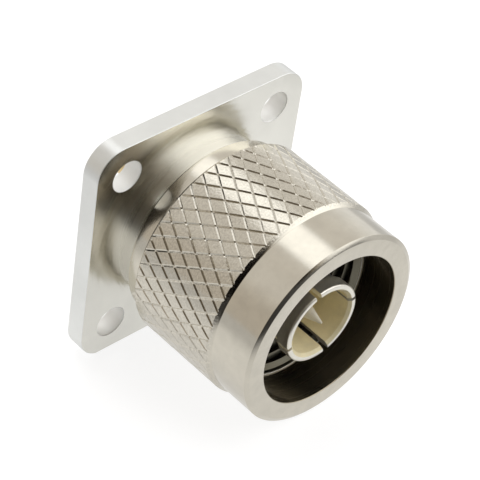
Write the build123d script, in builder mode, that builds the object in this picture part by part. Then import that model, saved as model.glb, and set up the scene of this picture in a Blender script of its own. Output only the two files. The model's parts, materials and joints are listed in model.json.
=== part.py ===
from build123d import *
import os
from math import cos, hypot, pi, radians, sin, tan

# N type coaxial plug with a square four-hole panel flange and a knurled coupling nut.
# Millimetres. The connector's axis is +X, pointing out of the mating end, and +Z is up.
# The origin is the centre of the flange's mounting face, so the panel is the plane X = 0.
os.makedirs("parts", exist_ok=True)

# Flange
flange_side = 25.4
flange_thickness = 2.05
flange_corner_r = 3.0
flange_edge_break = 0.15
screw_spacing = 18.26
screw_hole_r = 1.65
rear_lip = 1.3

# Neck of the body, which the nut turns on
neck_r = 8.85

# Coupling nut, outside
nut_gap = 2.1
nut_length = 17.2
rear_band_wall = 0.9
rear_band_length = 1.95
knurl_r = 10.71
knurl_rows = 8
knurl_starts = 44
knurl_angle = 30
knurl_depth = 0.13
knurl_groove = 0.28
shoulder_drop = 0.2
shoulder_length = 0.15
front_band_r = 10.38
front_edge_break = 0.3

# Coupling nut, inside: 5/8-24 thread, left as a plain hole of its minor radius
counterbore_r = 8.16
counterbore_depth = 4.3
thread_minor_r = 7.43
thread_lead = 0.7
nut_bore_depth = 5.95

# Spring ring that keeps the nut on the neck
ring_thickness = 1.05
ring_width = 0.9
ring_depth = 0.6
ring_gap = 2.4
ring_from_flange = 4.5

# Gasket round the foot of the outer contact
gasket_width = 1.4
gasket_thickness = 1.6

# Slotted outer contact
contact_base_r = 5.2
contact_base_depth = 4.9
contact_base_rise = 1.2
sleeve_r = 4.0
sleeve_bore_r = 3.5
sleeve_bore_step = 0.1
sleeve_setback = 1.08
bead_rise = 0.3
bead_length = 1.4
slot_count = 4
slot_width = 0.5
slot_length = 6.5
slot_turn = 16.6
rim_break = 0.18

# Centre contact: pin, captive collar and solder cup in one
shank_r = 1.52
pin_r = 0.825
pin_setback = 5.28
pin_tip_setback = 0.1
pin_tip_length = 2.0
pin_tip_r = 0.15
collar_r = 2.1
collar_length = 1.2
cup_reach = 8.2
cup_bore_r = 1.1
cup_depth = 4.6
cup_notch_width = 1.1
cup_notch_length = 2.6

# Boss of the rear insulator, round the foot of the solder cup
rear_boss_r = 2.5
rear_boss_reach = 3.2

# Clearances
nut_clearance = 0.08
nut_end_clearance = 0.15
ring_end_clearance = 0.1
ring_side_clearance = 0.05
gasket_clearance = 0.05
seat_clearance = 0.02
overrun = 1.0

# Places along the axis
nut_rear = flange_thickness + nut_gap
nut_front = nut_rear + nut_length
nut_shoulder = nut_rear + nut_bore_depth
counterbore_floor = nut_front - counterbore_depth
knurl_rear = nut_rear + rear_band_length
neck_front = nut_shoulder - nut_end_clearance
ring_rear = flange_thickness + ring_from_flange
ring_front = ring_rear + ring_width
contact_rear = neck_front - contact_base_depth
contact_base_front = neck_front + contact_base_rise
sleeve_front = nut_front - sleeve_setback
bead_rear = sleeve_front - bead_length
collar_front = contact_rear + collar_length
pin_shoulder = sleeve_front - pin_setback
pin_tip = sleeve_front - pin_tip_setback

# Radii of what fits together
nut_bore_r = neck_r + nut_clearance
rear_band_r = nut_bore_r + rear_band_wall
neck_groove_r = neck_r - ring_depth
ring_inner_r = neck_groove_r + ring_side_clearance
ring_outer_r = ring_inner_r + ring_thickness
nut_recess_r = ring_outer_r + ring_end_clearance
contact_seat_r = contact_base_r + seat_clearance
boss_hole_r = rear_boss_r + seat_clearance
shank_hole_r = shank_r + seat_clearance
bead_stop_r = sleeve_bore_r + sleeve_bore_step
gasket_inner_r = contact_base_r + gasket_clearance
bead_r = sleeve_r + bead_rise


# Body: flange and neck in one piece, bored from the front down to a lip at the mounting face
with BuildPart() as flange_body:
    with BuildSketch(Plane.YZ):
        RectangleRounded(flange_side, flange_side, flange_corner_r)
    extrude(amount=flange_thickness)
    chamfer(flange_body.faces().filter_by(Axis.X).edges(), length=flange_edge_break)
    with BuildSketch(Plane.XY):
        with BuildLine():
            Polyline(
                (0, 0),
                (0, neck_r),
                (ring_rear - ring_side_clearance, neck_r),
                (ring_rear - ring_side_clearance, neck_groove_r),
                (ring_front + ring_side_clearance, neck_groove_r),
                (ring_front + ring_side_clearance, neck_r),
                (neck_front, neck_r),
                (neck_front, 0),
                close=True,
            )
        make_face()
    revolve(axis=Axis.X)
    with BuildSketch(Plane.XY):
        with BuildLine():
            Polyline(
                (-overrun, 0),
                (-overrun, boss_hole_r),
                (rear_lip, boss_hole_r),
                (rear_lip, contact_seat_r),
                (neck_front + overrun, contact_seat_r),
                (neck_front + overrun, 0),
                close=True,
            )
        make_face()
    revolve(axis=Axis.X, mode=Mode.SUBTRACT)
    with Locations(Plane.YZ.offset(flange_thickness)):
        with GridLocations(screw_spacing, screw_spacing, 2, 2):
            Hole(screw_hole_r)
flange_body.part.label = "flange_body"
export_step(flange_body.part, "parts/flange_body.step")


# Knurl: V grooves of both hands cut the bar into rows of flat-topped diamonds, each row turned
# by half a pitch from the last. Every diamond lies on two flats that meet at its ridge, so the
# grooves run straight and meet at points of the root radius.
knurl_root_r = knurl_r - knurl_depth
half_turn = pi / knurl_starts
half_width = knurl_root_r * sin(half_turn)
half_length = half_width / tan(radians(knurl_angle))
flat_drop = knurl_root_r - knurl_root_r * cos(half_turn)
land_share = 1 - knurl_groove / 2 * hypot(half_width, half_length) / (half_width * half_length)
knurl_front = knurl_rear + knurl_rows * half_length


def diamond_plane(row, start):
    """Plane on the axis under a diamond's middle: x runs along the axis and z outward."""
    turn = 2 * half_turn * (start + row % 2 / 2)
    middle = (knurl_rear + row * half_length, 0, 0)
    return Plane(origin=middle, x_dir=(1, 0, 0), z_dir=(0, cos(turn), sin(turn)))


def corners(hand):
    """The root corner and the land corner on one hand of a diamond, halfway along it."""
    root_corner = (0, hand * half_width, knurl_root_r - flat_drop)
    land_corner = (0, hand * half_width * land_share, knurl_r - flat_drop * land_share)
    return root_corner, land_corner


def diamond_faces(row, start):
    """The two flats of a diamond's land and its flanks; the first and last rows are halves."""
    tips = [way for way in (-1, 1) if 0 <= row + way <= knurl_rows]
    root_tips = {way: (way * half_length, 0, knurl_root_r) for way in tips}
    land_tips = {way: (way * half_length * land_share, 0, knurl_r) for way in tips}
    middle = (0, 0, knurl_r)
    outlines = []
    for hand in (-1, 1):
        root_corner, land_corner = corners(hand)
        outlines.append([land_tips.get(-1, middle), land_tips.get(1, middle), land_corner])
        for way in tips:
            outlines.append([root_tips[way], land_tips[way], land_corner, root_corner])
    return [placed_face(outline, diamond_plane(row, start)) for outline in outlines]


def placed_face(outline, plane):
    """Flat face through the outline's points, which are given in the plane's own frame."""
    return Face(Wire.make_polygon([plane.from_local_coords(Vector(*point)) for point in outline]))


def bar_end(row):
    """The flat end of the knurled bar, cut through the middle of a row of diamonds."""
    near_root, near_land = corners(1)
    far_land = corners(-1)[1]
    points = []
    for start in range(knurl_starts):
        plane = diamond_plane(row, start)
        for point in (near_root, near_land, (0, 0, knurl_r), far_land):
            points.append(plane.from_local_coords(Vector(*point)))
    return Face(Wire.make_polygon(points))


bar_faces = [bar_end(0), bar_end(knurl_rows)]
for row in range(knurl_rows + 1):
    for start in range(knurl_starts):
        bar_faces += diamond_faces(row, start)
knurled_bar = Solid(Shell(bar_faces))


# Coupling nut: knurled bar with a plain band behind, a wider one in front, and its bore
with BuildPart() as coupling_nut:
    add(knurled_bar)
    with BuildSketch(Plane.XY):
        with BuildLine():
            Polyline(
                (nut_rear, 0),
                (nut_rear, rear_band_r),
                (knurl_rear + overrun, rear_band_r),
                (knurl_rear + overrun, 0),
                close=True,
            )
        make_face()
        with BuildLine():
            Polyline(
                (knurl_front - overrun, 0),
                (knurl_front - overrun, knurl_r - shoulder_drop),
                (knurl_front, knurl_r - shoulder_drop),
                (knurl_front + shoulder_length, front_band_r),
                (nut_front - front_edge_break, front_band_r),
                (nut_front, front_band_r - front_edge_break),
                (nut_front, 0),
                close=True,
            )
        make_face()
    revolve(axis=Axis.X)
    with BuildSketch(Plane.XY):
        with BuildLine():
            Polyline(
                (nut_rear - overrun, 0),
                (nut_rear - overrun, nut_bore_r),
                (ring_rear - ring_end_clearance, nut_bore_r),
                (ring_rear - ring_end_clearance, nut_recess_r),
                (nut_shoulder, nut_recess_r),
                (nut_shoulder, thread_minor_r),
                (counterbore_floor - thread_lead, thread_minor_r),
                (counterbore_floor, counterbore_r),
                (nut_front + overrun, counterbore_r),
                (nut_front + overrun, 0),
                close=True,
            )
        make_face()
    revolve(axis=Axis.X, mode=Mode.SUBTRACT)
coupling_nut.part.label = "coupling_nut"
export_step(coupling_nut.part, "parts/coupling_nut.step")


# Split spring ring in the neck's groove, in front of the rear lip of the nut, which it holds
with BuildPart() as retaining_ring:
    with BuildSketch(Plane.YZ.offset(ring_rear)):
        Circle(ring_outer_r)
        Circle(ring_inner_r, mode=Mode.SUBTRACT)
        with Locations((0, -ring_outer_r)):
            Rectangle(ring_gap, 2 * ring_thickness + ring_gap, mode=Mode.SUBTRACT)
    extrude(amount=ring_width)
retaining_ring.part.label = "retaining_ring"
export_step(retaining_ring.part, "parts/retaining_ring.step")


# Gasket that the mating barrel closes on
with BuildPart() as gasket:
    with BuildSketch(Plane.YZ.offset(neck_front)):
        Circle(gasket_inner_r + gasket_width)
        Circle(gasket_inner_r, mode=Mode.SUBTRACT)
    extrude(amount=gasket_thickness)
gasket.part.label = "gasket"
export_step(gasket.part, "parts/gasket.step")


# Outer contact: pressed base, sleeve with a raised bead at its tip, and slots from the tip back
with BuildPart() as outer_contact:
    with BuildSketch(Plane.XY):
        with BuildLine():
            Polyline(
                (contact_rear, bead_stop_r),
                (contact_rear, contact_base_r),
                (contact_base_front, contact_base_r),
                (contact_base_front, sleeve_r),
                (bead_rear - bead_rise, sleeve_r),
                (bead_rear, bead_r),
                (sleeve_front - rim_break, bead_r),
                (sleeve_front, bead_r - rim_break),
                (sleeve_front, sleeve_bore_r),
                (pin_shoulder, sleeve_bore_r),
                (pin_shoulder, bead_stop_r),
                close=True,
            )
        make_face()
    revolve(axis=Axis.X)
    with BuildSketch(Plane.YZ.offset(sleeve_front - slot_length)):
        with PolarLocations(0, slot_count, start_angle=slot_turn):
            Rectangle(bead_r + overrun, slot_width, align=(Align.MIN, Align.CENTER))
    extrude(amount=slot_length + overrun, mode=Mode.SUBTRACT)
outer_contact.part.label = "outer_contact"
export_step(outer_contact.part, "parts/outer_contact.step")


# Centre contact: tapered pin, shank with its captive collar, and a notched solder cup
with BuildPart() as centre_contact:
    with BuildSketch(Plane.XY):
        with BuildLine():
            Polyline(
                (-cup_reach, 0),
                (-cup_reach, shank_r),
                (contact_rear, shank_r),
                (contact_rear, collar_r),
                (collar_front, collar_r),
                (collar_front, shank_r),
                (pin_shoulder, shank_r),
                (pin_shoulder, pin_r),
                (pin_tip - pin_tip_length, pin_r),
                (pin_tip, pin_tip_r),
                (pin_tip, 0),
                close=True,
            )
        make_face()
    revolve(axis=Axis.X)
    with BuildSketch(Plane.YZ.offset(-cup_reach)):
        Circle(cup_bore_r)
    extrude(amount=cup_depth, mode=Mode.SUBTRACT)
    with BuildSketch(Plane.YZ.offset(-cup_reach)):
        Rectangle(cup_notch_width, shank_r + overrun, align=(Align.CENTER, Align.MIN))
    extrude(amount=cup_notch_length, mode=Mode.SUBTRACT)
centre_contact.part.label = "centre_contact"
export_step(centre_contact.part, "parts/centre_contact.step")


# Front insulator: bead between the pin's collar and the step in the sleeve's bore
with BuildPart() as front_insulator:
    with BuildSketch(Plane.YZ.offset(collar_front)):
        Circle(bead_stop_r - seat_clearance)
        Circle(shank_hole_r, mode=Mode.SUBTRACT)
    extrude(amount=pin_shoulder - collar_front)
front_insulator.part.label = "front_insulator"
export_step(front_insulator.part, "parts/front_insulator.step")


# Rear insulator: clamped between the body's lip and the outer contact, with a boss behind
with BuildPart() as rear_insulator:
    with BuildSketch(Plane.XY):
        with BuildLine():
            Polyline(
                (-rear_boss_reach, shank_hole_r),
                (-rear_boss_reach, rear_boss_r),
                (rear_lip, rear_boss_r),
                (rear_lip, contact_base_r),
                (contact_rear, contact_base_r),
                (contact_rear, shank_hole_r),
                close=True,
            )
        make_face()
    revolve(axis=Axis.X)
rear_insulator.part.label = "rear_insulator"
export_step(rear_insulator.part, "parts/rear_insulator.step")
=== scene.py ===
"""Looks of a square-flanged N type plug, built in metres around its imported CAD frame."""
import bmesh
import bpy
import json
from math import asin, atan2, cos, hypot, pi, radians, sin, tan
from mathutils import Matrix, Vector


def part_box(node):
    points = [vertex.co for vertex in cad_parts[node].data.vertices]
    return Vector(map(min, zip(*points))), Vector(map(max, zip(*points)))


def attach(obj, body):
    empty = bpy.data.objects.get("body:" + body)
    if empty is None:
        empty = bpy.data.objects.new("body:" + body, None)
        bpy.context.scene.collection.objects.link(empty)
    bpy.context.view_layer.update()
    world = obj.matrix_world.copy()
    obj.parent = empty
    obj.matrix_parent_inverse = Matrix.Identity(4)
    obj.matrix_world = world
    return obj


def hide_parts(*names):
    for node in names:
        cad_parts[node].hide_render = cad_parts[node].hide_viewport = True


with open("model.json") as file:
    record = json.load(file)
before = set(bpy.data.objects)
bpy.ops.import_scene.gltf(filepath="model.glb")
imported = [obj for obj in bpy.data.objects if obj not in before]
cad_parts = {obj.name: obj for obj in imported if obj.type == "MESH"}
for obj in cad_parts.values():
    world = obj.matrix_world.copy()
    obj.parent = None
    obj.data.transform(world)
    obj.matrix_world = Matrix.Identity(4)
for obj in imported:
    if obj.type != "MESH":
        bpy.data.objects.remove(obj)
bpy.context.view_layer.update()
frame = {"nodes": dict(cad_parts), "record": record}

mm = 0.001
micron = 1e-6
inch = 25.4 * mm

# Edge radius that most pieces share, and a place far out along a straight stretch
small_edge_r = 0.06 * mm
afar = 1

# Camera, in the row's frame
camera_place = Vector((117.41, -121.21, 144.44)) * mm
camera_forward = Vector((-0.50222, 0.55963, -0.65923))
camera_up = Vector((-0.55306, 0.37817, 0.74237))
camera_lens = 173.57
sensor_width = 36.0
camera_near = 10 * mm
camera_far = 20

# Corners of each piece's box, and the mounts' sizes, read from the frame
flange_low, flange_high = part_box("flange_body")
nut_low, nut_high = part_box("coupling_nut")
contact_low, contact_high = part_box("outer_contact")
pin_low, pin_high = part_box("centre_contact")
gasket_low, gasket_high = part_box("gasket")
front_low, front_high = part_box("front_insulator")
rear_low, rear_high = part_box("rear_insulator")
mount_sizes = {mount["name"]: mount["dims"] for mount in frame["record"]["mounts"]}
screws = mount_sizes["panel_bolts"]
thin_pin = mount_sizes["centre_pin"]
cup = mount_sizes["solder_cup"]

# Flange and neck
flange_side = flange_high.y - flange_low.y
flange_thickness = 2.05 * mm
flange_corner_r = 3.0 * mm
flange_edge_r = 0.06 * mm
screw_hole_r = screws["hole_r_mm"] * mm
screw_spacing = Vector((screws["spacing_x_mm"], screws["spacing_y_mm"])) * mm
screw_edge_r = 0.1 * mm
neck_r = 8.85 * mm
neck_edge_r = 0.15 * mm
body_bore_r = 5.22 * mm
boss_hole_r = 2.52 * mm
rear_lip = 1.3 * mm

# Coupling nut, with diamonds as long as the solid's, whose grooves go down to knurl_root_r
knurl_r = nut_high.z
knurl_rear = nut_low.x + 1.95 * mm
knurl_rows = 8
knurl_starts = 44
knurl_depth = 0.08 * mm
knurl_groove = 0.125 * mm
knurl_half_turn = pi / knurl_starts
knurl_angle = radians(30)
knurl_root_r = knurl_r - 0.13 * mm
knurl_half_length = knurl_root_r * sin(knurl_half_turn) / tan(knurl_angle)
knurl_front = knurl_rear + knurl_rows * knurl_half_length
knurl_bevel = 0.27 * mm
knurl_bevel_shares = (1, 0.75, 0.5)
rear_band_r = 9.83 * mm
shoulder_length = 0.15 * mm
front_band_r = 10.38 * mm
front_bevel = 0.24 * mm
front_bevel_rise = 0.44 * mm
rear_bevel = 0.22 * mm
mouth_edge_r = 0.1 * mm
counterbore_r = 8.16 * mm
counterbore_floor = nut_high.x - 4.3 * mm
thread_lead = 0.45 * mm
thread_ledge = 0.15 * mm
thread_lead_r = counterbore_r - thread_ledge
thread_minor_r = 7.43 * mm
thread_depth = 0.51 * mm
thread_pitch = inch / 24
nut_shoulder = nut_low.x + 5.95 * mm
nut_bore_r = 8.93 * mm
nut_recess_r = 9.45 * mm
nut_recess_rear = nut_low.x + 2.3 * mm

# Shape across a groove of the knurl: the distance from its middle as a share of knurl_groove,
# and the share of knurl_depth there. Below 0 it is the burr that the knurling tool leaves.
groove_shares = ((0, 1), (1, 0), (1.3, -0.12), (1.9, 0))

# Shape along one turn of the thread: the share of the pitch, and the share of the depth there
thread_shares = ((0, 0), (0.11, 0), (0.22, 0), (0.375, 0.5), (0.53, 1), (0.61, 1), (0.69, 1),
                 (0.845, 0.5))

# Outer contact
contact_base_r = contact_high.z
contact_base_front = contact_low.x + 6.1 * mm
contact_bore_r = 3.6 * mm
sleeve_r = 4.0 * mm
sleeve_bore_r = 3.5 * mm
bead_r = 4.3 * mm
bead_length = 1.4 * mm
rim_outer_r = 0.2 * mm
rim_inner_bevel = 0.3 * mm
slot_turn = radians(16.6)
slot_turns = [slot_turn + quarter * pi / 2 for quarter in range(4)]
slot_widths = [0.38 * mm, 0.6 * mm] * 2
slot_rear = contact_high.x - 6.5 * mm

# Centre contact and gasket
pin_r = thin_pin["r_mm"] * mm
pin_shoulder = contact_high.x - 5.28 * mm
pin_taper = 2.45 * mm
pin_edge_r = 0.18 * mm
pin_tip_r = 0.1 * mm
shank_r = 1.52 * mm
collar_length = 1.2 * mm
cup_bore_r = cup["r_mm"] * mm
cup_floor = pin_low.x + cup["length_mm"] * mm
notch_width = 1.1 * mm
notch_front = pin_low.x + 2.6 * mm
gasket_width = 1.4 * mm
gasket_edge_r = 0.18 * mm

# Where one material gives way to the next, among finishes and painted shade and light: radii, and
# how far a face's normal may lean from the axis on the body's faced sides and on the ledge round
# the nut's thread
band_mean_r = (rear_band_r + front_band_r) / 2
nut_wall_mean_r = (rear_band_r + nut_recess_r) / 2
bore_finish_r = sleeve_bore_r + 0.9 * rim_inner_bevel
faced_lean = radians(30)
ledge_lean = radians(20)

# Room round the part, in lobes: a direction, the degrees within which the lobe is full and at
# which it ends, and its light as a share of the room's. They are the ceiling, the soft box
# overhead, a window, three parts of the room's dark side, two dim ones above it and one beside.
room_lobes = (
    ((0, 0, 1), 50, 90, 0.8),
    ((-0.5, 0.17, 0.85), 9, 17, 2.0),
    ((0.45, 0.56, 0.69), 8, 52, 2.1),
    ((0.57, -0.8, 0.1), 12, 30, 0.1),
    ((0.85, -0.45, 0.35), 21, 34, 0.08),
    ((0.88, -0.3, 0.12), 28, 46, 0.01),
    ((0.03, -0.4, 0.92), 14, 31, 0.2),
    ((0.03, -0.83, 0.56), 14, 31, 0.25),
    ((-0.3, -0.94, 0.0), 10, 40, 0.6),
)
room_level = 0.95
room_shade = (1.0, 0.81, 0.56)
lamp_direction = (-0.49, 0.14, 0.86)
lamp_distance = 0.35
lamp_size = 0.22
lamp_power = 0.4

# Floor: its own colour, its glow to the camera, and its glow in the metal. In the metal it is
# dim in two stretches, the first within a wide circle ahead of the part and the second far from
# the part. Each is the circle's centre on the floor, the distances from it at which the dimming
# begins and is full, and the share of light that is left.
floor_half = 0.6
floor_gap = 0.02 * mm
floor_roughness = 0.6
floor_colour = (0.25, 0.25, 0.25)
floor_dark = (0.02, 0.02, 0.02)
floor_glow = 0.85
floor_mirror_glow = 0.7
floor_pools = (
    ((400 * mm, -150 * mm, 0), 392 * mm, 370 * mm, 0),
    ((0, 0, 0), 14 * mm, 80 * mm, 0.58),
)

# Mesh fineness
arc_steps = 4
corner_steps = 16
screw_columns = 64
turned_columns = 264
slot_columns = 3
finger_columns = 24
cup_columns = 60
sharp_angle = radians(32)
merge_distance = 0.1 * micron

# Plating: where the clouds' noise begins and ends, and the spread of gloss as shares
cloud_range = (0.35, 0.65)
gloss_shares = (0.75, 1.3)


def make_camera():
    """The photograph's view of the part."""
    data = bpy.data.cameras.new("camera")
    data.sensor_width = sensor_width
    data.lens = camera_lens
    data.clip_start = camera_near
    data.clip_end = camera_far
    camera = bpy.data.objects.new("camera", data)
    right = camera_forward.cross(camera_up).normalized()
    up = right.cross(camera_forward).normalized()
    turn = Matrix((right, up, -camera_forward.normalized())).transposed().to_4x4()
    camera.matrix_world = Matrix.Translation(camera_place) @ turn
    bpy.context.scene.collection.objects.link(camera)
    bpy.context.scene.camera = camera


class Shape:
    """Points and faces of one piece, put together ring by ring round the X axis."""

    def __init__(self):
        self.points = []
        self.faces = []

    def add(self, points):
        """Adds points and returns their numbers."""
        first = len(self.points)
        self.points += points
        return list(range(first, len(self.points)))

    def ring(self, x, r, turns):
        """Adds a ring of radius r at x, with a point at each turn."""
        return self.add([(x, r * cos(turn), r * sin(turn)) for turn in turns])

    def stitch(self, *rings):
        """Joins each closed ring to the next with quads, point to point."""
        for ring, other in zip(rings, rings[1:]):
            for i, near in enumerate(ring):
                k = (i + 1) % len(ring)
                self.faces.append((near, ring[k], other[k], other[i]))

    def turn(self, number):
        """Turn of a point round the axis."""
        return atan2(self.points[number][2], self.points[number][1]) % (2 * pi)

    def weave(self, ring, other):
        """Joins two closed rings whose points stand at different turns, with triangles."""
        near = sorted(ring, key=self.turn)
        far = sorted(other, key=self.turn)
        near_turns = [self.turn(i) for i in near] + [2 * pi + self.turn(near[0])]
        far_turns = [self.turn(i) for i in far] + [2 * pi + self.turn(far[0])]
        near.append(near[0])
        far.append(far[0])
        i = j = 0
        while i < len(near) - 1 or j < len(far) - 1:
            if j == len(far) - 1 or (i < len(near) - 1 and near_turns[i + 1] <= far_turns[j + 1]):
                self.faces.append((near[i], near[i + 1], far[j]))
                i += 1
            else:
                self.faces.append((near[i], far[j + 1], far[j]))
                j += 1

    def piece(self, name, body, slot, replaced, materials, choose=None, trim=None):
        """Turns the shape into a smooth object that rides on a body and replaces a node.

        choose gives a face's material from its centre and normal, and trim cuts the mesh.
        """
        mesh = bpy.data.meshes.new(name)
        mesh.from_pydata(self.points, [], self.faces)
        tidy(mesh, choose, trim)
        for material in materials:
            mesh.materials.append(material)
        made = bpy.data.objects.new(name, mesh)
        bpy.context.scene.collection.objects.link(made)
        weights = made.modifiers.new("weighted_normals", "WEIGHTED_NORMAL")
        weights.keep_sharp = True
        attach(made, body)
        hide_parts(replaced)


def tidy(mesh, choose, trim):
    """Merges doubled points, turns faces outward, marks sharp edges and picks materials."""
    work = bmesh.new()
    work.from_mesh(mesh)
    bmesh.ops.remove_doubles(work, verts=work.verts, dist=merge_distance)
    loose = [vertex for vertex in work.verts if not vertex.link_faces]
    bmesh.ops.delete(work, geom=loose, context="VERTS")
    if trim:
        trim(work)
    bmesh.ops.recalc_face_normals(work, faces=work.faces)
    for face in work.faces:
        face.smooth = True
        if choose:
            face.material_index = choose(face.calc_center_median(), face.normal)
    for edge in work.edges:
        edge.smooth = edge.calc_face_angle(0) < sharp_angle
    work.to_mesh(mesh)
    work.free()


def rounded(corners, closed=True):
    """Outline points from corners (x, r, edge radius), each corner turned into an arc."""
    points = []
    for i, (x, r, edge_r) in enumerate(corners):
        corner = Vector((x, r))
        if edge_r == 0 or (not closed and i in (0, len(corners) - 1)):
            points.append(corner)
            continue
        before = Vector(corners[i - 1][:2]) - corner
        after = Vector(corners[(i + 1) % len(corners)][:2]) - corner
        half = before.angle(after) / 2
        reach = edge_r / tan(half)
        start = corner + before.normalized() * reach
        end = corner + after.normalized() * reach
        for step in range(arc_steps + 1):
            t = step / arc_steps
            weights = ((1 - t) ** 2, 2 * t * (1 - t) * sin(half), t * t)
            total = start * weights[0] + corner * weights[1] + end * weights[2]
            points.append(total / sum(weights))
    return points


def stretch(corners):
    """Rounded outline between its end corners, which only say where it comes from and goes."""
    return rounded(corners, closed=False)[1:-1]


def even_turns(count):
    """Turns that part a circle evenly."""
    return [2 * pi * i / count for i in range(count)]


def turned(outline):
    """Shape turned round the X axis from a closed outline of (x, r) points."""
    shape = Shape()
    turns = even_turns(turned_columns)
    rings = [shape.ring(x, r, turns) for x, r in outline]
    shape.stitch(*rings, rings[0])
    return shape


def slotted(outline, slot_end, slots, widths, closed, between):
    """Turned shape, with flat-sided slots from one outline point at slot_end to the other."""
    shape = Shape()
    across = slot_columns
    first, last = [i for i, (x, r) in enumerate(outline) if abs(x - slot_end) < micron]

    def columns(r):
        halves = [asin(width / 2 / r) for width in widths]
        turns = []
        for i, slot in enumerate(slots):
            k = (i + 1) % len(slots)
            half = halves[i]
            following = slots[k] - halves[k] + (2 * pi if k == 0 else 0)
            turns += [slot - half + 2 * half * j / across for j in range(across)]
            span = following - slot - half
            turns += [slot + half + span * j / between for j in range(between)]
        return turns

    cut = range(first, last + 1)
    rings = [shape.ring(x, r, columns(r if i in cut else outline[first][1]))
             for i, (x, r) in enumerate(outline)]
    count = len(rings[0])
    gaps = {i * (across + between) + j for i in range(len(slots)) for j in range(across)}
    for i in range(len(rings) if closed else len(rings) - 1):
        near, far = rings[i], rings[(i + 1) % len(rings)]
        for j in range(count):
            if j in gaps and first <= i < last:
                continue
            k = (j + 1) % count
            shape.faces.append((near[j], near[k], far[k], far[j]))
    for j in gaps:
        shape.faces.append((rings[first][j], rings[first][j + 1],
                            rings[last][j + 1], rings[last][j]))
    for i in range(len(slots)):
        for side in (0, across):
            shape.faces.append([rings[k][i * (across + between) + side] for k in cut])
    return shape


def knurl_stations():
    """Places across a diamond, from -1 to 1, and how deep the groove is at each, as shares."""
    reach = knurl_groove * hypot(1, tan(knurl_angle)) / (knurl_r * sin(knurl_half_turn))
    side = [(1 - away * reach, depth) for away, depth in groove_shares]
    return [(-place, depth) for place, depth in side] + [(0, 0)] + side[::-1]


def diamond_faces(grid, front_half, rear_half):
    """Faces of a whole diamond, or of its front or rear half, over a grid of point numbers."""
    faces = []
    for i in range(len(grid) - 1):
        for j in range(len(grid) - 1):
            near, next_near = grid[i][j], grid[i + 1][j]
            far, next_far = grid[i][j + 1], grid[i + 1][j + 1]
            if front_half and i == j:
                faces.append((near, next_near, next_far))
            elif rear_half and i == j:
                faces.append((near, next_far, far))
            elif not (front_half and i < j or rear_half and j < i):
                faces.append((near, next_near, next_far, far))
    return faces


def knurl(shape):
    """Adds the knurl's diamonds and returns the rings at its rear and front ends."""
    stations = knurl_stations()
    ends = {0: [], knurl_rows: []}
    for row in range(knurl_rows + 1):
        for start in range(knurl_starts):
            middle_turn = knurl_half_turn * (2 * start + row % 2)
            middle_x = knurl_rear + row * knurl_half_length
            grid = []
            for across, across_depth in stations:
                points = []
                for along, along_depth in stations:
                    deeper = max(across_depth, along_depth)
                    depth = deeper if deeper > 0 else min(across_depth, along_depth)
                    turn = middle_turn + knurl_half_turn * (across + along) / 2
                    r = knurl_r - knurl_depth * depth
                    x = middle_x + knurl_half_length * (across - along) / 2
                    points.append((x, r * cos(turn), r * sin(turn)))
                grid.append(shape.add(points))
            shape.faces += diamond_faces(grid, row == 0, row == knurl_rows)
            if row in ends:
                ends[row] += [grid[i][i] for i in range(len(grid) - 1)]
    return ends[0], ends[knurl_rows]


def bevel_knurl(work):
    """Cuts the knurl's two ends down to cones, which leaves their edges zigzag."""
    front_start = knurl_front - knurl_bevel
    front_slope = (knurl_r - front_band_r) / (knurl_bevel + shoulder_length)

    def outside(face):
        centre = face.calc_center_median()
        return hypot(centre.y, centre.z) > band_mean_r

    for share in knurl_bevel_shares:
        for x in (knurl_rear + share * knurl_bevel, knurl_front - share * knurl_bevel):
            faces = [face for face in work.faces if outside(face)]
            edges = {edge for face in faces for edge in face.edges}
            corners = {vertex for face in faces for vertex in face.verts}
            bmesh.ops.bisect_plane(work, geom=faces + list(edges) + list(corners),
                                   dist=merge_distance, plane_co=(x, 0, 0), plane_no=(1, 0, 0))
    for vertex in work.verts:
        x, y, z = vertex.co
        r = hypot(y, z)
        if r < band_mean_r or not knurl_rear - small_edge_r < x < knurl_front + small_edge_r:
            continue
        rear_cone_r = knurl_r - max(0, knurl_rear + knurl_bevel - x)
        front_cone_r = knurl_r - max(0, x - front_start) * front_slope
        ratio = min(r, rear_cone_r, front_cone_r) / r
        vertex.co = (x, y * ratio, z * ratio)


def thread_rings(shape, turns):
    """Adds the internal thread's helical rings, from the nut's shoulder to its counterbore."""
    pitches = int((counterbore_floor - nut_shoulder) / thread_pitch) + 3
    rings = []
    for number in range(-1, pitches):
        for phase_share, depth_share in thread_shares:
            ring = []
            for turn in turns:
                x = nut_shoulder + (number + phase_share + turn / (2 * pi)) * thread_pitch
                x = min(max(x, nut_shoulder), counterbore_floor)
                fade = min(1, (x - nut_shoulder) / thread_pitch)
                lead_share = (counterbore_floor - x) / thread_lead
                cone_r = thread_lead_r - (thread_lead_r - thread_minor_r) * lead_share
                r = max(thread_minor_r + thread_depth * depth_share * fade, cone_r)
                ring.append((x, r * cos(turn), r * sin(turn)))
            rings.append(shape.add(ring))
    turn_rings = len(thread_shares)
    for i in range(len(rings) - 1):
        near, far = rings[i], rings[i + 1]
        for j in range(len(turns) - 1):
            shape.faces.append((near[j], near[j + 1], far[j + 1], far[j]))
        over = rings[min(i + turn_rings, len(rings) - 1)]
        next_over = rings[min(i + 1 + turn_rings, len(rings) - 1)]
        shape.faces.append((near[-1], over[0], next_over[0], far[-1]))


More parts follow.
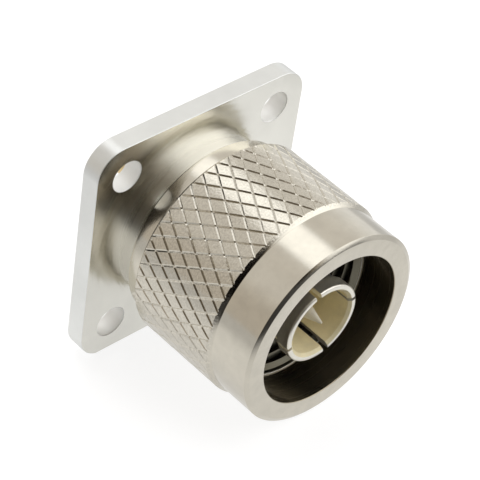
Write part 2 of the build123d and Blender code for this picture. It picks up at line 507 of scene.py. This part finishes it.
def nut_finish(centre, normal):
    """Material of a nut face: 0 turned, 1 knurled, 2 bores and 3 thread in painted shade, 4 ledge
    in painted light.
    """
    r = hypot(centre.y, centre.z)
    if r > band_mean_r and knurl_rear < centre.x < knurl_front:
        return 1
    # Counterbore wall in darker nickel, painted shade; the front face is turned.
    if centre.x > counterbore_floor + small_edge_r:
        return 2 if r < counterbore_r + mouth_edge_r / 2 else 0
    # Ledge at the counterbore's foot in near-white nickel: painted light.
    if normal.x > cos(ledge_lean) and r > thread_lead_r:
        return 4 if r < counterbore_r else 0
    # Thread in near-black nickel: painted shade.
    if centre.x > nut_shoulder and r < thread_lead_r:
        return 3
    # The bore and recess behind the thread take the darker nickel too, as painted shade.
    rear_face = centre.x < nut_low.x + small_edge_r
    return 0 if rear_face or r > nut_wall_mean_r else 2


def make_nut(materials):
    """Coupling nut: rear band, knurl, front band, counterbore, thread and recess."""
    shape = Shape()
    rear_wave, front_wave = knurl(shape)
    turns = even_turns(turned_columns)
    outside = rounded([
        (knurl_front + shoulder_length / 3, front_band_r + shoulder_length / 2, 0),
        (knurl_front + shoulder_length, front_band_r, small_edge_r),
        (nut_high.x - front_bevel, front_band_r, small_edge_r / 2),
        (nut_high.x, front_band_r - front_bevel_rise, small_edge_r / 2),
        (nut_high.x, counterbore_r, mouth_edge_r),
        (counterbore_floor, counterbore_r, small_edge_r / 2),
        (counterbore_floor, thread_lead_r, 0),
    ], closed=False)
    inside = rounded([
        (nut_shoulder, thread_minor_r, 0),
        (nut_shoulder, nut_recess_r, small_edge_r),
        (nut_recess_rear, nut_recess_r, small_edge_r),
        (nut_recess_rear, nut_bore_r, small_edge_r),
        (nut_low.x, nut_bore_r, small_edge_r),
        (nut_low.x, rear_band_r - rear_bevel, small_edge_r / 2),
        (nut_low.x + rear_bevel, rear_band_r, small_edge_r / 2),
        (knurl_rear, rear_band_r, 0),
    ], closed=False)
    front_rings = [shape.ring(x, r, turns) for x, r in outside]
    shape.weave(front_wave, front_rings[0])
    shape.stitch(*front_rings)
    thread_rings(shape, turns)
    rear_rings = [shape.ring(x, r, turns) for x, r in inside]
    shape.stitch(*rear_rings)
    shape.weave(rear_rings[-1], rear_wave)
    shape.piece("nut_shell", "nut", "nickel_plate", "coupling_nut", materials,
                nut_finish, bevel_knurl)


def square_loop(x, side, corner_r):
    """Points round a square with rounded corners that stands at x."""
    points = []
    for corner in range(4):
        start = corner * pi / 2
        middle = Vector((cos(start) - sin(start), sin(start) + cos(start)))
        middle *= side / 2 - corner_r
        for step in range(corner_steps + 1):
            turn = start + pi / 2 * step / corner_steps
            y, z = middle + Vector((cos(turn), sin(turn))) * corner_r
            points.append((x, y, z))
    return points


def flange_rim(shape):
    """Adds the plate's rim and returns its loops at the front and rear faces."""
    outline = stretch([
        (flange_thickness, afar, 0),
        (flange_thickness, 0, flange_edge_r),
        (0, 0, flange_edge_r),
        (0, afar, 0),
    ])
    loops = [shape.add(square_loop(x, flange_side - 2 * inset, flange_corner_r - inset))
             for x, inset in outline]
    shape.stitch(*loops)
    return loops[0], loops[-1]


def screw_hole(shape, centre):
    """Adds a screw hole's wall and returns its loops at the front and rear faces."""
    outline = stretch([
        (flange_thickness, afar, 0),
        (flange_thickness, screw_hole_r, screw_edge_r),
        (0, screw_hole_r, screw_edge_r),
        (0, afar, 0),
    ])
    loops = [shape.add([centre + Vector((x, r * cos(turn), r * sin(turn)))
                        for turn in even_turns(screw_columns)]) for x, r in outline]
    shape.stitch(*loops)
    return loops[0], loops[-1]


def neck_and_bore(shape):
    """Adds the neck and the bore and returns their loops at the front and rear faces."""
    outline = [(flange_thickness, neck_r)] + stretch([
        (flange_thickness, neck_r, 0),
        (flange_high.x, neck_r, neck_edge_r),
        (flange_high.x, body_bore_r, small_edge_r),
        (rear_lip, body_bore_r, 0),
        (rear_lip, boss_hole_r, 0),
        (0, boss_hole_r, small_edge_r),
        (0, afar, 0),
    ])
    loops = [shape.ring(x, r, even_turns(turned_columns)) for x, r in outline]
    shape.stitch(*loops)
    return loops[0], loops[-1]


def flange_finish(centre, normal):
    """Material of a face of the body: 0 faced, 1 in the screw holes with painted light, 2 milled,
    3 turned.
    """
    if abs(normal.x) > cos(faced_lean) and centre.x < flange_thickness + small_edge_r:
        return 0
    if hypot(centre.y, centre.z) < neck_r + small_edge_r:
        return 3
    # Screw hole walls in near-white satin nickel; the near white is painted light.
    to_hole = hypot(abs(centre.y) - screw_spacing.x / 2, abs(centre.z) - screw_spacing.y / 2)
    return 1 if to_hole < screw_hole_r + screw_edge_r else 2


def make_flange(materials):
    """Body: plate with rounded rims and four screw holes, and the bored neck."""
    shape = Shape()
    ends = [flange_rim(shape)]
    for y_way in (-1, 1):
        for z_way in (-1, 1):
            centre = Vector((0, y_way * screw_spacing.x / 2, z_way * screw_spacing.y / 2))
            ends.append(screw_hole(shape, centre))
    ends.append(neck_and_bore(shape))
    for loops in zip(*ends):
        shape.faces += filled(shape.points, loops)
    shape.piece("flange_and_neck", "body", "nickel_plate", "flange_body", materials,
                flange_finish)


def filled(points, loops):
    """Triangles that fill the flat area between an outer loop and the loops inside it."""
    work = bmesh.new()
    made = {}
    for loop in loops:
        corners = [work.verts.new(points[number]) for number in loop]
        made.update(zip(corners, loop))
        for corner, following in zip(corners, corners[1:] + corners[:1]):
            work.edges.new((corner, following))
    bmesh.ops.triangle_fill(work, edges=work.edges[:], use_beauty=True, use_dissolve=False)
    faces = [tuple(made[corner] for corner in face.verts) for face in work.faces]
    work.free()
    return faces


def sleeve_finish(centre, normal):
    """Material of a face of the outer contact: 1 inside the sleeve, otherwise 0."""
    inside = hypot(centre.y, centre.z) < bore_finish_r
    return 1 if inside and centre.x > pin_shoulder else 0


def make_outer_contact(materials):
    """Pressed base, sleeve with a raised bead at its tip, and slots from the tip back."""
    bead_rear = contact_high.x - bead_length
    outline = rounded([
        (pin_shoulder, contact_bore_r, 0),
        (contact_low.x, contact_bore_r, 0),
        (contact_low.x, contact_base_r, small_edge_r),
        (contact_base_front, contact_base_r, small_edge_r),
        (contact_base_front, sleeve_r, small_edge_r),
        (slot_rear, sleeve_r, 0),
        (bead_rear - (bead_r - sleeve_r), sleeve_r, small_edge_r),
        (bead_rear, bead_r, small_edge_r),
        (contact_high.x, bead_r, rim_outer_r),
        (contact_high.x, sleeve_bore_r + rim_inner_bevel, small_edge_r),
        (contact_high.x - rim_inner_bevel, sleeve_bore_r, small_edge_r),
        (slot_rear, sleeve_bore_r, 0),
        (pin_shoulder, sleeve_bore_r, 0),
    ])
    shape = slotted(outline, slot_rear, slot_turns, slot_widths, True, finger_columns)
    shape.piece("slotted_sleeve", "body", "nickel_plate", "outer_contact", materials,
                sleeve_finish)


def contact_finish(centre, normal):
    """Material of a face of the centre contact: 0 on the pin, 1 from its shoulder back."""
    return 0 if centre.x > pin_shoulder else 1


def make_centre_contact(materials):
    """Pin, shank with its collar, and the notched solder cup."""
    outline = rounded([
        (cup_floor, 0, 0),
        (cup_floor, cup_bore_r, 0),
        (notch_front, cup_bore_r, 0),
        (pin_low.x, cup_bore_r, small_edge_r),
        (pin_low.x, shank_r, small_edge_r),
        (notch_front, shank_r, 0),
        (contact_low.x, shank_r, 0),
        (contact_low.x, pin_high.z, small_edge_r),
        (contact_low.x + collar_length, pin_high.z, small_edge_r),
        (contact_low.x + collar_length, shank_r, 0),
        (pin_shoulder, shank_r, small_edge_r),
        (pin_shoulder, pin_r, 0),
        (pin_high.x - pin_taper, pin_r, pin_edge_r),
        (pin_high.x, pin_tip_r, pin_tip_r / 2),
        (pin_high.x, 0, 0),
    ], closed=False)
    shape = slotted(outline, notch_front, [pi / 2], [notch_width], False, cup_columns)
    shape.piece("pin_and_cup", "body", "gold_plate", "centre_contact", materials,
                contact_finish)


def make_insulators(material):
    """The bead in front of the pin's collar and the stepped one behind it."""
    front = turned(rounded([
        (front_low.x, front_high.z, small_edge_r),
        (front_high.x, front_high.z, small_edge_r),
        (front_high.x, shank_r, small_edge_r),
        (front_low.x, shank_r, small_edge_r),
    ]))
    front.piece("front_bead", "body", "white_insulator", "front_insulator", [material])
    rear = turned(rounded([
        (rear_low.x, shank_r, small_edge_r),
        (rear_low.x, boss_hole_r, 2 * small_edge_r),
        (rear_lip, boss_hole_r, 0),
        (rear_lip, rear_high.z, small_edge_r),
        (rear_high.x, rear_high.z, small_edge_r),
        (rear_high.x, shank_r, small_edge_r),
    ]))
    rear.piece("rear_bead", "body", "white_insulator", "rear_insulator", [material])


def make_gasket(material):
    """Rubber ring round the foot of the outer contact."""
    inner_r = gasket_high.z - gasket_width
    ring = turned(rounded([
        (gasket_low.x, inner_r, gasket_edge_r),
        (gasket_low.x, gasket_high.z, gasket_edge_r),
        (gasket_high.x, gasket_high.z, gasket_edge_r),
        (gasket_high.x, inner_r, gasket_edge_r),
    ]))
    ring.piece("barrel_seal", "body", "gasket_rubber", "gasket", [material])


def paint_ring(material):
    """Gives the retaining ring, which keeps its CAD mesh, a material."""
    ring = frame["nodes"]["retaining_ring"]
    ring.data.materials.clear()
    ring.data.materials.append(material)


def new_material(name, colour, metallic, roughness):
    """Node material with its shader and node tree."""
    material = bpy.data.materials.new(name)
    material.use_nodes = True
    tree = material.node_tree
    shader = tree.nodes["Principled BSDF"]
    shader.inputs["Base Color"].default_value = (*colour, 1)
    shader.inputs["Metallic"].default_value = metallic
    shader.inputs["Roughness"].default_value = roughness
    return material, tree, shader


def node(tree, kind, **values):
    """Adds a node and sets its inputs or properties by name."""
    made = tree.nodes.new(kind)
    for name, value in values.items():
        if hasattr(made, name):
            setattr(made, name, value)
        else:
            made.inputs[name.replace("_", " ")].default_value = value
    return made


def tint(tree, low, high, factor):
    """Mix of two colours by a factor's output."""
    mix = node(tree, "ShaderNodeMix", data_type="RGBA")
    mix.inputs["A"].default_value = (*low, 1)
    mix.inputs["B"].default_value = (*high, 1)
    tree.links.new(factor, mix.inputs["Factor"])
    return mix.outputs["Result"]


def axis_coordinates(tree):
    """Object coordinates, and the pair of axial place and radius."""
    place = node(tree, "ShaderNodeTexCoord")
    split = node(tree, "ShaderNodeSeparateXYZ")
    flat = node(tree, "ShaderNodeCombineXYZ")
    length = node(tree, "ShaderNodeVectorMath", operation="LENGTH")
    joined = node(tree, "ShaderNodeCombineXYZ")
    tree.links.new(place.outputs["Object"], split.inputs[0])
    tree.links.new(split.outputs["Y"], flat.inputs["Y"])
    tree.links.new(split.outputs["Z"], flat.inputs["Z"])
    tree.links.new(flat.outputs[0], length.inputs[0])
    tree.links.new(split.outputs["X"], joined.inputs["X"])
    tree.links.new(length.outputs["Value"], joined.inputs["Y"])
    return place.outputs["Object"], joined.outputs[0]


def plated(name, colour, roughness, metallic=1.0, lines=0.5, line_scale=9000, grain=0.3,
           grain_scale=5200, clouding=0.93, cloud_scale=160):
    """Plate over turned brass: turning lines, grain, faint clouding and uneven gloss.

    lines and grain are depths in microns, and clouding is the share of the colour in the clouds.
    """
    material, tree, shader = new_material(name, colour, metallic, roughness)
    place, axial = axis_coordinates(tree)
    line_noise = node(tree, "ShaderNodeTexNoise", Scale=line_scale, Detail=3, Roughness=0.7)
    clouds = node(tree, "ShaderNodeTexNoise", Scale=cloud_scale, Detail=4, Roughness=0.6)
    grain_noise = node(tree, "ShaderNodeTexNoise", Scale=grain_scale, Detail=2)
    tree.links.new(axial, line_noise.inputs["Vector"])
    tree.links.new(place, clouds.inputs["Vector"])
    tree.links.new(place, grain_noise.inputs["Vector"])

    dim = [channel * clouding for channel in colour]
    spread = node(tree, "ShaderNodeMapRange", From_Min=cloud_range[0], From_Max=cloud_range[1])
    tree.links.new(clouds.outputs["Fac"], spread.inputs["Value"])
    shade = tint(tree, dim, colour, spread.outputs["Result"])
    tree.links.new(shade, shader.inputs["Base Color"])

    gloss = node(tree, "ShaderNodeMapRange", To_Min=roughness * gloss_shares[0],
                 To_Max=roughness * gloss_shares[1])
    tree.links.new(line_noise.outputs["Fac"], gloss.inputs["Value"])
    tree.links.new(gloss.outputs["Result"], shader.inputs["Roughness"])

    line_bump = node(tree, "ShaderNodeBump", Strength=1, Distance=lines * micron)
    grain_bump = node(tree, "ShaderNodeBump", Strength=1, Distance=grain * micron)
    tree.links.new(line_noise.outputs["Fac"], line_bump.inputs["Height"])
    tree.links.new(grain_noise.outputs["Fac"], grain_bump.inputs["Height"])
    tree.links.new(line_bump.outputs["Normal"], grain_bump.inputs["Normal"])
    tree.links.new(grain_bump.outputs["Normal"], shader.inputs["Normal"])
    return material


def mottled(name, colour, roughness, scale, tint_share, bump_depth):
    """Plain moulded material with a mottled tint and a fine surface."""
    material, tree, shader = new_material(name, colour, 0.0, roughness)
    place = node(tree, "ShaderNodeTexCoord")
    mottle = node(tree, "ShaderNodeTexNoise", Scale=scale, Detail=3)
    bump = node(tree, "ShaderNodeBump", Strength=0.4, Distance=bump_depth)
    tree.links.new(place.outputs["Object"], mottle.inputs["Vector"])
    low = [channel * tint_share for channel in colour]
    tree.links.new(tint(tree, low, colour, mottle.outputs["Fac"]), shader.inputs["Base Color"])
    tree.links.new(mottle.outputs["Fac"], bump.inputs["Height"])
    tree.links.new(bump.outputs["Normal"], shader.inputs["Normal"])
    return material


def waxy_plastic():
    """White fluoropolymer: slightly mottled, with a soft gloss and some depth."""
    material = mottled("white_bead", (0.86, 0.86, 0.84), 0.45, 700, 0.94, micron)
    shader = material.node_tree.nodes["Principled BSDF"]
    shader.inputs["Subsurface Weight"].default_value = 0.1
    shader.inputs["Subsurface Scale"].default_value = 0.5 * mm
    return material


def ray_kinds(tree):
    """Light path node, and an output that is 1 for rays off a gloss or through glass."""
    rays = node(tree, "ShaderNodeLightPath")
    mirrored = node(tree, "ShaderNodeMath", operation="MAXIMUM")
    tree.links.new(rays.outputs["Is Glossy Ray"], mirrored.inputs[0])
    tree.links.new(rays.outputs["Is Transmission Ray"], mirrored.inputs[1])
    return rays, mirrored.outputs[0]


def make_floor():
    """Pale floor that the flange's lower edge and the nut's front band both touch."""
    heel = Vector((0, 0, flange_low.z))
    toe = Vector((nut_high.x - front_bevel, 0, -front_band_r))
    slope = atan2(toe.z - heel.z, toe.x - heel.x)
    mesh = bpy.data.meshes.new("floor")
    corners = [(x_way * floor_half, y_way * floor_half, 0)
               for x_way, y_way in ((-1, -1), (1, -1), (1, 1), (-1, 1))]
    mesh.from_pydata(corners, [], [(0, 1, 2, 3)])
    floor = bpy.data.objects.new("floor", mesh)
    bpy.context.scene.collection.objects.link(floor)
    floor.matrix_world = (Matrix.Translation(heel) @ Matrix.Rotation(-slope, 4, "Y")
                          @ Matrix.Translation((0, 0, -floor_gap)))
    floor.data.materials.append(floor_paper())


def floor_paper():
    """Paper that is white to the camera and keeps the part's shadow."""
    material, tree, shader = new_material("floor", floor_colour, 0.0, floor_roughness)
    rays, mirrored = ray_kinds(tree)
    place = node(tree, "ShaderNodeTexCoord")
    left = mirrored
    for centre, start, end, share in floor_pools:
        away = node(tree, "ShaderNodeVectorMath", operation="DISTANCE")
        away.inputs[1].default_value = centre
        dim = node(tree, "ShaderNodeMapRange", interpolation_type="SMOOTHSTEP",
                   From_Min=start, From_Max=end, To_Min=1, To_Max=share)
        in_metal = node(tree, "ShaderNodeMath", operation="MULTIPLY")
        tree.links.new(place.outputs["Object"], away.inputs[0])
        tree.links.new(away.outputs["Value"], dim.inputs["Value"])
        tree.links.new(left, in_metal.inputs[0])
        tree.links.new(dim.outputs["Result"], in_metal.inputs[1])
        left = in_metal.outputs[0]
    mirror_level = node(tree, "ShaderNodeMath", operation="MULTIPLY")
    mirror_level.inputs[1].default_value = floor_mirror_glow
    tree.links.new(left, mirror_level.inputs[0])
    level = node(tree, "ShaderNodeMath", operation="MULTIPLY_ADD")
    level.inputs[1].default_value = floor_glow
    tree.links.new(rays.outputs["Is Camera Ray"], level.inputs[0])
    tree.links.new(mirror_level.outputs[0], level.inputs[2])
    lost = node(tree, "ShaderNodeMath", operation="SUBTRACT")
    tree.links.new(mirrored, lost.inputs[0])
    tree.links.new(left, lost.inputs[1])
    tree.links.new(tint(tree, floor_colour, floor_dark, lost.outputs[0]),
                   shader.inputs["Base Color"])
    glow = node(tree, "ShaderNodeEmission", Color=(1, 1, 1, 1))
    total = node(tree, "ShaderNodeAddShader")
    tree.links.new(level.outputs[0], glow.inputs["Strength"])
    tree.links.new(shader.outputs["BSDF"], total.inputs[0])
    tree.links.new(glow.outputs[0], total.inputs[1])
    tree.links.new(total.outputs[0], tree.nodes["Material Output"].inputs["Surface"])
    return material


def make_lamp():
    """Square soft lamp overhead; the metal shows the room's own soft box in its place."""
    data = bpy.data.lights.new("top_lamp", "AREA")
    data.shape = "SQUARE"
    data.size = lamp_size
    data.energy = lamp_power
    lamp = bpy.data.objects.new("top_lamp", data)
    away = Vector(lamp_direction).normalized()
    lamp.location = away * lamp_distance
    lamp.rotation_euler = away.to_track_quat("Z", "Y").to_euler()
    lamp.visible_glossy = False
    bpy.context.scene.collection.objects.link(lamp)


def room_light(tree):
    """Product of the room's lobes in a direction."""
    place = node(tree, "ShaderNodeTexCoord")
    level = None
    for direction, full, end, share in room_lobes:
        toward = node(tree, "ShaderNodeVectorMath", operation="DOT_PRODUCT")
        toward.inputs[1].default_value = Vector(direction).normalized()
        lobe = node(tree, "ShaderNodeMapRange", interpolation_type="SMOOTHSTEP",
                    From_Min=cos(radians(end)), From_Max=cos(radians(full)),
                    To_Min=1, To_Max=share)
        tree.links.new(place.outputs["Generated"], toward.inputs[0])
        tree.links.new(toward.outputs["Value"], lobe.inputs["Value"])
        product = node(tree, "ShaderNodeMath", operation="MULTIPLY")
        product.inputs[0].default_value = 1
        if level:
            tree.links.new(level, product.inputs[0])
        tree.links.new(lobe.outputs["Result"], product.inputs[1])
        level = product.outputs[0]
    return level


def make_world():
    """Pale room with a soft box and a darker, warmer side; plain white to the camera."""
    world = bpy.data.worlds.new("world")
    bpy.context.scene.world = world
    world.use_nodes = True
    tree = world.node_tree
    room = tree.nodes["Background"]
    light = room_light(tree)
    rays, mirrored = ray_kinds(tree)
    level = node(tree, "ShaderNodeMapRange", To_Min=room_level, To_Max=1)
    tree.links.new(mirrored, level.inputs["Value"])
    strength = node(tree, "ShaderNodeMath", operation="MULTIPLY")
    tree.links.new(light, strength.inputs[0])
    tree.links.new(level.outputs["Result"], strength.inputs[1])
    tree.links.new(strength.outputs[0], room.inputs["Strength"])
    tree.links.new(tint(tree, room_shade, (1, 1, 1), light), room.inputs["Color"])
    backdrop = node(tree, "ShaderNodeBackground", Color=(1, 1, 1, 1), Strength=1)
    choice = node(tree, "ShaderNodeMixShader")
    tree.links.new(rays.outputs["Is Camera Ray"], choice.inputs[0])
    tree.links.new(room.outputs[0], choice.inputs[1])
    tree.links.new(backdrop.outputs[0], choice.inputs[2])
    tree.links.new(choice.outputs[0], tree.nodes["World Output"].inputs["Surface"])


make_camera()

nut_colour = (0.665, 0.627, 0.54)
turned_nickel = plated("turned_nickel", nut_colour, 0.15, lines=1.5, grain=2.0,
                       cloud_scale=700)
knurled_nickel = plated("knurled_nickel", (0.7, 0.662, 0.575), 0.19, lines=1.0, grain=15.0,
                        grain_scale=3600, clouding=0.82, cloud_scale=5200)
# Darker nickel in the counterbore and the nut's bores: painted shade.
painted_shade_bore_nickel = plated("painted_shade_bore_nickel", (0.38, 0.335, 0.25), 0.25)
# Near-black nickel in the thread: painted shade.
painted_shade_thread_nickel = plated("painted_shade_thread_nickel", (0.16, 0.15, 0.115), 0.3)
plate_nickel = plated("plate_nickel", (0.84, 0.83, 0.77), 0.2, lines=20.0, line_scale=2400)
neck_nickel = plated("neck_nickel", (0.75, 0.725, 0.66), 0.27, lines=28.0, line_scale=2400)
milled_nickel = plated("milled_nickel", (0.84, 0.85, 0.83), 0.38, lines=1.0)
# Satin nickel for the screw holes and the ledge at the counterbore's foot: the rough satin is its
# finish, the near-white colour is painted light.
satin_painted_light_nickel = plated("satin_painted_light_nickel", (0.98, 0.98, 0.96), 0.6, metallic=0.6)
sleeve_nickel = plated("sleeve_nickel", (0.93, 0.90, 0.81), 0.33, metallic=0.85)
sleeve_bore = plated("sleeve_bore", (1.0, 0.9, 0.6), 0.55, metallic=0.15, clouding=0.9,
                     cloud_scale=900)
pin_gold = plated("pin_gold", (1.0, 0.96, 0.85), 0.3, metallic=0.0)
shank_gold = plated("shank_gold", (0.8, 0.62, 0.32), 0.3)
bronze = plated("bronze", (0.55, 0.42, 0.27), 0.35)
# The rubber's red darkened to near black: painted shade deep in the nut's mouth.
painted_shade_seal_rubber = mottled("painted_shade_seal_rubber", (0.10, 0.03, 0.02), 0.7, 3000, 0.8, 5 * micron)

make_nut([turned_nickel, knurled_nickel, painted_shade_bore_nickel, painted_shade_thread_nickel, satin_painted_light_nickel])
make_flange([plate_nickel, satin_painted_light_nickel, milled_nickel, neck_nickel])
make_outer_contact([sleeve_nickel, sleeve_bore])
make_centre_contact([pin_gold, shank_gold])
make_insulators(waxy_plastic())
make_gasket(painted_shade_seal_rubber)
paint_ring(bronze)
make_floor()
make_lamp()
make_world()

bpy.context.scene.view_settings.view_transform = "Standard"
